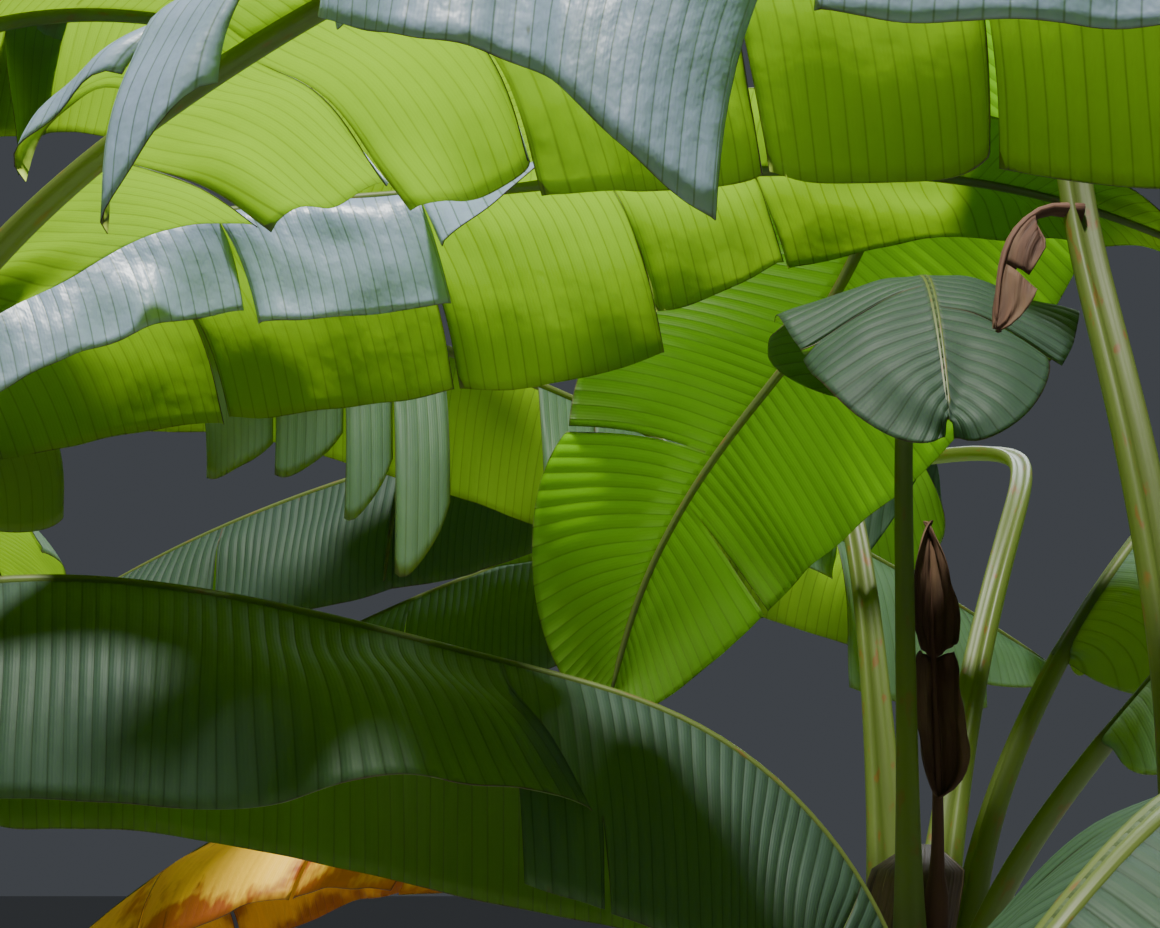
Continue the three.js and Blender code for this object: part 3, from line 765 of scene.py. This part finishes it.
def blade_mesh(leaf, step, rows, wave):
    """Both halves of a blade as one shell, parted by its tears and nicks, shaped vein by vein."""
    bm = bmesh.new()
    veins = bm.loops.layers.uv.new("veins")
    share = bm.loops.layers.uv.new("share")
    dead = leaf.tint == "dead"
    seed = sum(ord(c) for c in leaf.name) * 0.37
    for side, sign in SIDES:
        half = leaf.halves[side]
        for strip in strips_of(half):
            if max(strip["reach"]) <= 0:
                continue
            nicks = [] if dead else ragged(seed + sign, strip)
            cuts = [strip["from"], *(n[0] for n in nicks), strip["to"]]
            for i in range(len(cuts) - 1):
                sheet = {**strip, "low": cuts[i], "high": cuts[i + 1]}
                sheet["low_torn"] = nicks[i - 1][1] if i else JOINED
                sheet["high_torn"] = nicks[i][1] if i < len(nicks) else JOINED
                sheet["inner"] = (i > 0, i < len(nicks))
                sheet_mesh(bm, leaf, half, sign, sheet, step, rows, wave, seed, veins, share)
    bmesh.ops.remove_doubles(bm, verts=bm.verts, dist=WELD * MM)
    return bm


def sheet_mesh(bm, leaf, half, sign, strip, step, rows, wave, seed, veins, share):
    """One sheet between two tears or nicks: laid out vein by vein, then waved, drooped and pulled apart."""
    low, high = strip["low"], strip["high"]
    columns = max(2, round((high - low) * leaf.blade / step))
    made = bmesh.ops.create_grid(bm, x_segments=columns, y_segments=rows, size=0.5)["verts"]
    gape = GAPE * TEAR / 2
    lines = {}
    flip = noise.cell(Vector((seed, low * 40, sign))) - 0.5
    span = strip["to"] - strip["from"]
    narrow = 1 - smoothstep(span * leaf.blade, NARROW, WIDE)
    turned = noise.cell(Vector((seed + 2.7, strip["from"] * 31, sign))) > 0.5
    rounding = ROUNDED if len(strip["reach"]) == 1 else 0
    for i in range(columns + 1):
        u = lerp(low, high, i / columns)
        across = clamp((u - strip["from"]) / span)
        cut = (1 - across if turned else across) ** 1.4
        kept = 1 - rounding * (2 * across - 1) ** 4 - ASLANT * narrow * cut
        points, length = leaf.vein(half, sign, strip, u)
        lines[i] = (u, points, length, kept)
    grid = {}
    data = {}
    for vert in made:
        i = round((vert.co.x + 0.5) * columns)
        j = round((vert.co.y + 0.5) * rows)
        u, points, length, kept = lines[i]
        t = j / rows * kept
        p = t * FINE_STEPS
        k = min(int(p), FINE_STEPS - 1)
        grid[i, j] = vert
        near = min(
            length * (kept - t),
            (u - low) * leaf.blade + (0 if t > strip["low_torn"] else UNTORN),
            (high - u) * leaf.blade + (0 if t > strip["high_torn"] else UNTORN),
        )
        data[vert] = (u * leaf.blade * MM, sign * (t * length + FIRST_VEIN) * MM, t, near * MM)
        vert.co = points[k].lerp(points[k + 1], p - k)
    moved = {}
    for (i, j), vert in grid.items():
        u = lines[i][0]
        t = j / rows * lines[i][3]
        ahead = grid[min(i + 1, columns), j].co - grid[max(i - 1, 0), j].co
        out = grid[i, min(j + 1, rows)].co - grid[i, max(j - 1, 0)].co
        normal = ahead.cross(out).normalized() * -sign
        v = u * leaf.blade
        swell = noise.noise(Vector((v / 90, t * 2.2, seed + sign)))
        swell += noise.noise(Vector((v / 230, t, seed)))
        curl = noise.noise(Vector((v / 70, t * 1.1, seed + 9 + sign))) * t * t
        rise = wave * smoothstep(t, 0, 0.3) * (swell + 1.3 * curl)
        across = (u - strip["from"]) / span
        rise -= DROOP * wave * smoothstep(t, 0.1, 1) * abs(2 * across - 1) ** 5
        if leaf.tint == "dead":
            fold = noise.noise(Vector((v / 130, t * 4, seed + 4 * sign)))
            crease = noise.noise(Vector((v / 28, t * 7, seed + 8 * sign)))
            rise += min(leaf.width / 8, 13) * fold * smoothstep(t, 0, 0.3)
            rise += min(leaf.width / 16, 6) * crease * smoothstep(t, 0, 0.2)
        f = i / columns
        if strip["inner"][0]:
            rise += LIFT * flip * smoothstep(t, strip["low_torn"], 1.02) * smoothstep(1 - f, 0.3, 1)
        if strip["inner"][1]:
            rise += LIFT * flip * smoothstep(t, strip["high_torn"], 1.02) * smoothstep(f, 0.3, 1)
        pull = 0.0
        if i == 0:
            pull = gape * smoothstep(t, strip["low_torn"], 1)
        elif i == columns:
            pull = -gape * smoothstep(t, strip["high_torn"], 1)
        moved[vert] = vert.co + normal * rise + ahead.normalized() * pull
    faces = set()
    for vert, to in moved.items():
        vert.co = to * MM
        faces.update(vert.link_faces)
    for face in faces:
        for loop in face.loops:
            v, s, t, near = data[loop.vert]
            loop[veins].uv = (v, s)
            loop[share].uv = (t, near)
    if sign > 0:
        bmesh.ops.reverse_faces(bm, faces=list(faces))


def tube(bm, rows, segments, place, uv):
    """A closed tube: place(row from 0 to 1, angle) gives each point, uv(row, angle) its map."""
    layer = bm.loops.layers.uv.new("veins")
    bmesh.ops.create_cone(bm, cap_ends=True, segments=segments, radius1=1, radius2=1, depth=1)
    long_edges = [e for e in bm.edges if abs(e.verts[0].co.z - e.verts[1].co.z) > 0.5]
    bmesh.ops.subdivide_edges(bm, edges=long_edges, cuts=rows - 1, use_grid_fill=True)
    where = {}
    for vert in bm.verts:
        where[vert] = (clamp(vert.co.z + 0.5), math.atan2(vert.co.y, vert.co.x))
    for vert, (row, angle) in where.items():
        vert.co = place(row, angle) * MM
    for face in bm.faces:
        angles = [where[loop.vert][1] for loop in face.loops]
        wraps = max(angles) - min(angles) > math.pi
        for loop in face.loops:
            row, angle = where[loop.vert]
            if wraps and angle < 0:
                angle += 2 * math.pi
            loop[layer].uv = uv(row, angle)
    bmesh.ops.recalc_face_normals(bm, faces=bm.faces)


def rib_mesh(leaf):
    """Petiole and midrib: a channelled stalk that comes out of the stem and runs on under the blade."""
    bm = bmesh.new()
    boot = 0 if hasattr(leaf, "host") else BOOT
    total = leaf.length + boot
    rows = max(12, round(total / RIB_STEP))
    blade_start = leaf.petiole / leaf.length
    deep = []
    at, _, side, _ = leaf.rib_frame(0)
    for k in range(BOOT_STEPS + 1):
        climb = lerp(along(leaf.climb, 0), BOOT_CLIMB, smoothstep(k / BOOT_STEPS, 0, 1))
        ahead = heading(climb, along(leaf.turn, 0))
        deep.append((at.copy(), ahead, side, side.cross(ahead)))
        at = at - ahead * (boot / BOOT_STEPS)

    def place(row, angle):
        walked = row * total - boot
        x = walked / leaf.length
        if walked < 0:
            p = -walked / boot * BOOT_STEPS
            at, ahead, side, up = deep[min(int(p), BOOT_STEPS)]
            more = deep[min(int(p) + 1, BOOT_STEPS)][0]
            at = at.lerp(more, p - int(p))
            radius = leaf.rib_radius(0) * lerp(1, BOOT_SWELL, -walked / boot)
        else:
            at, ahead, side, up = leaf.rib_frame(x)
            radius = leaf.rib_radius(x)
        on_blade = smoothstep(x, blade_start * 0.93, blade_start * 1.12)
        cos, sin = math.cos(angle), math.sin(angle)
        lift = sin
        if sin > 0:
            lift = sin * lerp(1.0, 0.62, on_blade)
            lift -= lerp(0.95, 0.22, on_blade) * math.exp(-((cos / lerp(0.5, 0.3, on_blade)) ** 2))
        end = 1 - 0.6 * smoothstep(row, 0.985, 1)
        return at + side * (cos * radius * end) + up * ((lift * end - KEEL) * radius)

    def uv(row, angle):
        return ((row * total - boot) * MM, angle * leaf.stout * MM)

    tube(bm, rows, RIB_SEGMENTS, place, uv)
    return bm


def stem_mesh(name):
    """A false stem: the sheaths of its leaves, each lapping over the younger one inside it."""
    stem = STEMS[name]
    height = stem["crown"][2]
    bm = bmesh.new()
    own = [leaf for leaf in GROWN.values() if getattr(leaf, "stem", "") == name]
    own.sort(key=lambda leaf: -leaf.start)
    bands = [(leaf.turn[0], leaf.start) for leaf in own]
    bands += [(leaf.turn[0] + 137, leaf.start - OLDER_SHEATH) for leaf in own if leaf.start > SHEATH_FALL]

    def place(row, angle):
        z = row * height
        radius = stem_radius(stem, z) * 0.95
        raised = 0.0
        for order, (turn, top) in enumerate(bands):
            lip = top + SHEATH_LIP - z
            if lip < 0:
                continue
            half = lerp(26, 105, clamp((top - z) / SHEATH_FALL) ** 0.6)
            away = abs((math.degrees(angle) - turn + 180) % 360 - 180)
            layer = (2.2 + 1.1 * order) * smoothstep(half - away, -1.5, 3.5) * smoothstep(lip, 0, 60)
            raised = max(raised, layer)
        rough = 2.5 * noise.noise(Vector((math.cos(angle) * 3, math.sin(angle) * 3, z / 160)))
        cap = 1 - smoothstep(z, height - CROWN_CAP, height) ** 2 * 0.72
        radius = (radius + min(raised, MOST_RAISED) + rough) * cap
        return stem_axis(stem, z) + Vector((math.cos(angle) * radius, math.sin(angle) * radius, 0))

    def uv(row, angle):
        return (row * height * MM, angle * stem["foot_radius"] * MM)

    tube(bm, round(height / STEM_STEP), STEM_SEGMENTS, place, uv)
    return bm


# Settings.


class BananaSizes(bpy.types.PropertyGroup):
    """Sizes of the blades' surface."""

    column: bpy.props.FloatProperty(
        name="Column", description="Distance between two columns of a blade's mesh", default=0.0085,
        min=0.003, max=0.05, unit="LENGTH",
    )
    rows: bpy.props.IntProperty(
        name="Rows", description="Faces from the midrib to the margin", default=18, min=4, max=60
    )
    thickness: bpy.props.FloatProperty(
        name="Thickness", description="Thickness of a blade", default=0.0012,
        min=0.0002, max=0.01, unit="LENGTH",
    )
    wave: bpy.props.FloatProperty(
        name="Wave", description="Height of the blade's slow waves", default=0.007,
        min=0.0, max=0.05, unit="LENGTH",
    )
    pleat: bpy.props.FloatProperty(
        name="Pleat", description="Distance between two pleats", default=0.017,
        min=0.004, max=0.1, unit="LENGTH",
    )


def tint_property(name, description, default):
    return bpy.props.FloatVectorProperty(
        name=name, description=description, default=default, subtype="COLOR", size=3, min=0.0, max=1.0
    )


class BananaColours(bpy.types.PropertyGroup):
    """Colours of the clump's finishes."""

    upper: tint_property("Upper face", "Upper face of a living blade", (0.022, 0.062, 0.018))
    # Wax bloom: partly the leaf's own wax, partly a painted bluish sheen of reflected sky.
    bloom_and_sheen: tint_property("Bloom", "Wax on the upper face of a living blade", (0.27, 0.335, 0.55))
    under: tint_property("Under face", "Paler under face of a living blade", (0.08, 0.15, 0.022))
    glow: tint_property("Glow", "Light that comes through a living blade", (0.62, 0.86, 0.13))
    deep_glow: tint_property("Deep glow", "Light that comes through a darker blade", (0.50, 0.82, 0.10))
    rib: tint_property("Midrib", "Petioles and midribs", (0.085, 0.115, 0.024))
    yellow: tint_property("Yellow leaf", "The blade that has turned", (0.86, 0.56, 0.04))
    rust: tint_property("Rust", "Spots on old tissue", (0.30, 0.07, 0.02))
    dead: tint_property("Dead leaf", "Dry brown tissue", (0.066, 0.029, 0.015))
    straw: tint_property("Straw", "Bleached fibres", (0.55, 0.38, 0.18))
    sheath: tint_property("Sheath", "Old sheaths of a false stem", (0.09, 0.055, 0.04))
    bruise: tint_property("Bruise", "Purple-black blotches on a false stem", (0.03, 0.012, 0.018))


class BananaStage(bpy.types.PropertyGroup):
    """Camera, floor and lights."""

    lens: bpy.props.FloatProperty(
        name="Lens", description="Focal length in millimetres", default=50.0, min=10.0
    )
    eye: bpy.props.FloatVectorProperty(
        name="Eye", description="Place of the camera", default=(0.95, -1.70, 1.67), subtype="TRANSLATION"
    )
    tilt: bpy.props.FloatProperty(
        name="Tilt", description="How far the camera looks up", default=math.radians(12), subtype="ANGLE"
    )
    key: bpy.props.FloatProperty(
        name="Key light", description="Power of the high light", default=9000.0, min=0.0, unit="POWER"
    )
    back: bpy.props.FloatProperty(
        name="Back light", description="Power of the broad light behind", default=750.0,
        min=0.0, unit="POWER",
    )
    sky: bpy.props.FloatProperty(
        name="Fill light", description="Strength of the light all round", default=0.07, min=0.0
    )


# Operators.


def build_leaf(name):
    """The blade and the midrib of one leaf, each a piece that stands for the leaf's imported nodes."""
    leaf = GROWN[name]
    sizes = bpy.context.scene.banana_sizes
    nodes = nodes_of(name)
    wave = sizes.wave / MM * (DEAD_WAVE if leaf.tint == "dead" else LIVING[leaf.tint]["wave"])
    wave *= min(leaf.width / SMALL_BLADE, 1)
    bm = blade_mesh(leaf, sizes.column / MM, sizes.rows, wave)
    piece(name + "_blade", bm, blade_materials(leaf.tint), nodes, sizes.thickness)
    kind = "dead" if leaf.tint == "dead" else "living"
    rib = material(f"{kind}_midrib", rib_paint, kind)
    piece(name + "_midrib", rib_mesh(leaf), [rib], nodes)


class BANANA_OT_stems(bpy.types.Operator):
    """Build the sheathed false stems"""

    bl_idname = "banana.stems"
    bl_label = "False stems"

    def execute(self, context):
        sheath = material("stem_sheaths", sheath_paint)
        for name in STEMS:
            piece(name + "_stem_sheaths", stem_mesh(name), [sheath], [name + "_stem"])
        return {"FINISHED"}


class BANANA_OT_green_leaves(bpy.types.Operator):
    """Build the living leaves with their midribs"""

    bl_idname = "banana.green_leaves"
    bl_label = "Living leaves"

    def execute(self, context):
        for name, leaf in GROWN.items():
            if leaf.tint not in ("yellow", "dead"):
                build_leaf(name)
        return {"FINISHED"}


class BANANA_OT_yellow_leaf(bpy.types.Operator):
    """Build the leaf that has turned yellow"""

    bl_idname = "banana.yellow_leaf"
    bl_label = "Yellow leaf"

    def execute(self, context):
        build_leaf("middle_leaf_2")
        return {"FINISHED"}


class BANANA_OT_dead_leaves(bpy.types.Operator):
    """Build the withered leaves"""

    bl_idname = "banana.dead_leaves"
    bl_label = "Dead leaves"

    def execute(self, context):
        for name, leaf in GROWN.items():
            if leaf.tint == "dead":
                build_leaf(name)
        return {"FINISHED"}


# The floor's half width and the lights' places, in metres.
FLOOR_REACH = 30
KEY_PLACE = (0.14, -3.2, 9.2)
KEY_TARGET = (0.6, 0.1, 1.7)
BACK_PLACE = (3.3, 4.9, 7.7)
BACK_TARGET = (0.8, 0.2, 1.8)


def aim(obj, place, target):
    """Put a light into the scene, turned from its place to a target."""
    obj.location = place
    obj.rotation_euler = (Vector(target) - Vector(place)).to_track_quat("-Z", "Y").to_euler()
    bpy.context.scene.collection.objects.link(obj)


class BANANA_OT_stage(bpy.types.Operator):
    """Set the floor, the lights and the camera"""

    bl_idname = "banana.stage"
    bl_label = "Stage"

    def execute(self, context):
        scene = context.scene
        stage = scene.banana_stage
        data = bpy.data.cameras.new("camera")
        data.lens = stage.lens
        data.sensor_width = 36
        data.clip_start = 0.02
        camera = bpy.data.objects.new("camera", data)
        camera.location = stage.eye
        camera.rotation_euler = (math.pi / 2 + stage.tilt, 0, 0)
        scene.collection.objects.link(camera)
        scene.camera = camera

        bm = bmesh.new()
        bmesh.ops.create_grid(bm, x_segments=4, y_segments=4, size=FLOOR_REACH)
        mesh = bpy.data.meshes.new("floor")
        bm.to_mesh(mesh)
        bm.free()
        floor = bpy.data.objects.new("floor", mesh)
        scene.collection.objects.link(floor)
        paint = Paint("pale_floor")
        ground = paint.add("ShaderNodeBsdfPrincipled", Base_Color=(0.5, 0.5, 0.48, 1), Roughness=0.9)
        mesh.materials.append(paint.finish(ground.outputs[0]))

        back = bpy.data.lights.new("back", "AREA")
        back.energy = stage.back
        back.size = 4
        back.color = (0.86, 0.93, 1.0)
        aim(bpy.data.objects.new("back", back), BACK_PLACE, BACK_TARGET)

        key = bpy.data.lights.new("key", "SPOT")
        key.energy = stage.key
        key.shadow_soft_size = 0.4
        key.spot_size = math.radians(54)
        key.spot_blend = 1.0
        key.color = (1.0, 0.97, 0.9)
        aim(bpy.data.objects.new("key", key), KEY_PLACE, KEY_TARGET)

        world = bpy.data.worlds.new("world")
        scene.world = world
        world.use_nodes = True
        sky = world.node_tree.nodes["Background"]
        sky.inputs[0].default_value = (0.80, 0.88, 1.0, 1)
        sky.inputs[1].default_value = stage.sky
        return {"FINISHED"}


class BANANA_PT_panel(bpy.types.Panel):
    """The clump's settings and build steps"""

    bl_label = "Banana plant"
    bl_idname = "BANANA_PT_panel"
    bl_space_type = "VIEW_3D"
    bl_region_type = "UI"
    bl_category = "Banana"

    def draw(self, context):
        scene = context.scene
        for group in (scene.banana_sizes, scene.banana_colours, scene.banana_stage):
            box = self.layout.box()
            for name in group.__annotations__:
                box.prop(group, name)
        for step in STEPS:
            self.layout.operator("banana." + step)


STEPS = ("stems", "green_leaves", "yellow_leaf", "dead_leaves", "stage")
CLASSES = (
    BananaSizes,
    BananaColours,
    BananaStage,
    BANANA_OT_stems,
    BANANA_OT_green_leaves,
    BANANA_OT_yellow_leaf,
    BANANA_OT_dead_leaves,
    BANANA_OT_stage,
    BANANA_PT_panel,
)


def register():
    for cls in CLASSES:
        bpy.utils.register_class(cls)
    bpy.types.Scene.banana_sizes = bpy.props.PointerProperty(type=BananaSizes)
    bpy.types.Scene.banana_colours = bpy.props.PointerProperty(type=BananaColours)
    bpy.types.Scene.banana_stage = bpy.props.PointerProperty(type=BananaStage)


def unregister():
    del bpy.types.Scene.banana_stage
    del bpy.types.Scene.banana_colours
    del bpy.types.Scene.banana_sizes
    for cls in reversed(CLASSES):
        bpy.utils.unregister_class(cls)


def main():
    register()
    for step in STEPS:
        getattr(bpy.ops.banana, step)()
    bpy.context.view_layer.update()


if __name__ == "__main__":
    main()
